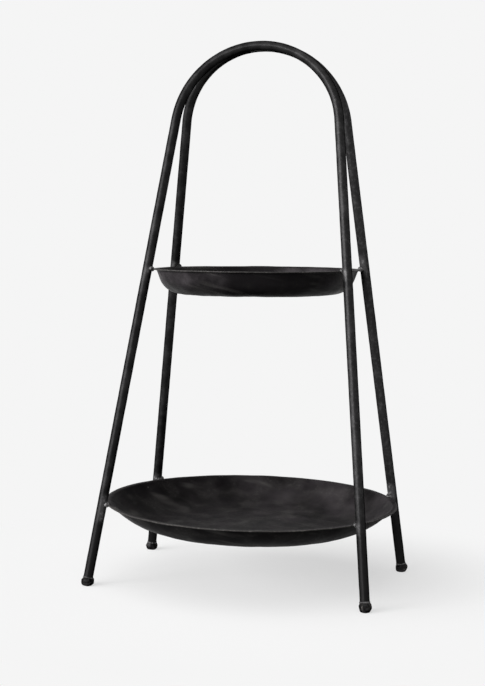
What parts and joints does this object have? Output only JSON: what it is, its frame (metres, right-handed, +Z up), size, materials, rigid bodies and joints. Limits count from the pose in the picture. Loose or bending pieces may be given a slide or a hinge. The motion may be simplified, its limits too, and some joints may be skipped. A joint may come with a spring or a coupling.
{
  "type": "tiered side table",
  "caption": "Free-standing black metal side table: bent-tube hoops lean together at the top and carry a small dished tray above a larger one near the floor, on ball feet.",
  "frame": {"origin": "on the floor, below the middle of the two trays and midway between the ball feet", "axes": "+Z up; +X to the right along the span of the hoops; -Y towards the front hoop, +Y towards the rear hoop"},
  "size_m": [0.4922, 0.4922, 0.9009],
  "materials": {
    "hoop_tube": "blackened, waxed to a soft satin",
    "tray_sheet": "blackened sheet, lightly planished, matte to satin",
    "ball_foot": "blackened, lightly hammered",
    "weld_bead": "blackened weld metal, a little brighter where brushed"
  },
  "bodies": {
    "root": {"front_hoop": "hoop_tube", "rear_hoop": "hoop_tube", "upper_tray": "tray_sheet", "lower_tray": "tray_sheet", "ball_foot_front_left": "ball_foot", "ball_foot_front_right": "ball_foot", "ball_foot_rear_left": "ball_foot", "ball_foot_rear_right": "ball_foot", "foot_weld_front_left": "weld_bead", "foot_weld_front_right": "weld_bead", "foot_weld_rear_left": "weld_bead", "foot_weld_rear_right": "weld_bead", "upper_tray_weld_front_left": "weld_bead", "upper_tray_weld_front_right": "weld_bead", "upper_tray_weld_rear_left": "weld_bead", "upper_tray_weld_rear_right": "weld_bead", "lower_tray_weld_front_left": "weld_bead", "lower_tray_weld_front_right": "weld_bead", "lower_tray_weld_rear_left": "weld_bead", "lower_tray_weld_rear_right": "weld_bead", "crown_weld_top": "weld_bead", "crown_weld_under": "weld_bead"}
  },
  "joints": []
}
